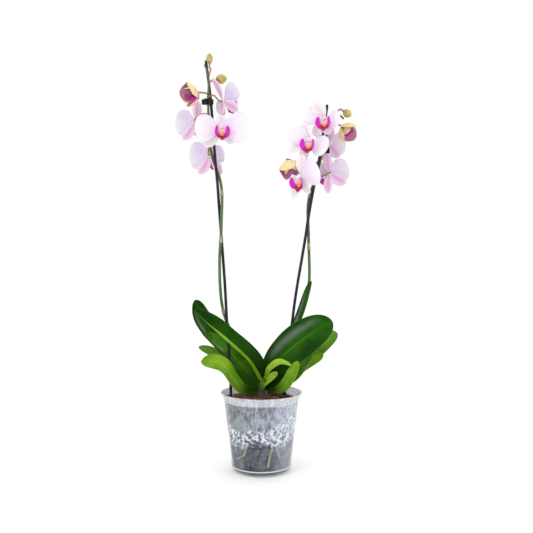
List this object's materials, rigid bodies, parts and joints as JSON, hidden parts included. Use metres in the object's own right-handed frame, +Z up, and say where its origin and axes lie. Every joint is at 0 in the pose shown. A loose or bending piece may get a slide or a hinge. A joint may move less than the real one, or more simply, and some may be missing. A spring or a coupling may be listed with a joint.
{
  "type": "potted orchid",
  "caption": "Potted moth orchid in a clear nursery pot of bark, with two staked flower spikes of white and pink blooms, half-open blooms, buds and broad green leaves.",
  "frame": {"origin": "centre of the pot's base, on the surface it stands on", "axes": "+Z up along the flower spikes, +X to the right of the side the picture shows, +Y away from its viewer"},
  "size_m": [0.2687, 0.12, 0.6075],
  "materials": {
    "clear_pot": "clear thin plastic with a haze of condensation and drops inside",
    "bark": "coarse red-brown chips and fibres, damp and dark where seen through the pot",
    "crown_and_roots": "green stem base and smooth grey-green roots",
    "leaf_dark": "thick glossy dark green leaf with a pale midrib, lighter below",
    "leaf_young": "bright yellow-green leaf, satin",
    "spike": "smooth olive-green flower stem, stalks tinged with salmon brown",
    "stake": "black plastic-coated wire with a purple tinge",
    "clip": "black plastic",
    "petal": "white with a pale lilac flush and fine veins, pink on the back of the sepals",
    "petal_cream": "cream-yellow with a peach and green tinge",
    "lip": "fuchsia to crimson with a cream and orange middle",
    "bud": "ochre-yellow with a green tinge and a darker foot"
  },
  "bodies": {
    "root": {"pot": "clear_pot", "bark": "bark", "crown": "crown_and_roots", "leaf_left_fold": "leaf_dark", "leaf_right_broad": "leaf_dark", "leaf_right_upright": "leaf_dark", "leaf_left_back": "leaf_dark", "leaf_right_back": "leaf_young", "leaf_left_middle": "leaf_dark", "leaf_left_low": "leaf_young", "leaf_left_small": "leaf_young", "leaf_right_bright": "leaf_young", "leaf_right_young": "leaf_young", "leaf_right_round": "leaf_young", "leaf_right_pale": "leaf_young", "leaf_right_inner": "leaf_dark", "leaf_front_small": "leaf_young", "spike_left": "spike", "stake_left": "stake", "clip_left": "clip", "spike_right": "spike", "stake_right": "stake", "clip_right": "clip", "bloom_left_front": "petal", "bloom_left_front_lip": "lip", "bloom_left_outer": "petal", "bloom_left_outer_lip": "lip", "bloom_left_top": "petal", "bloom_left_top_lip": "lip", "bloom_left_low": "petal", "bloom_left_low_lip": "lip", "bloom_right_top": "petal", "bloom_right_top_lip": "lip", "bloom_right_middle": "petal", "bloom_right_middle_lip": "lip", "bloom_right_low": "petal", "bloom_right_low_lip": "lip", "bloom_right_back": "petal", "bloom_right_back_lip": "lip", "bloom_right_outer": "petal", "bloom_right_outer_lip": "lip", "bloom_left_half": "petal_cream", "bloom_left_half_lip": "lip", "bloom_right_half": "petal_cream", "bloom_right_half_lip": "lip", "bloom_right_peach": "petal_cream", "bloom_right_peach_lip": "lip", "bud_left_top": "bud", "bud_left_side": "bud", "bud_right": "bud"}
  },
  "joints": []
}
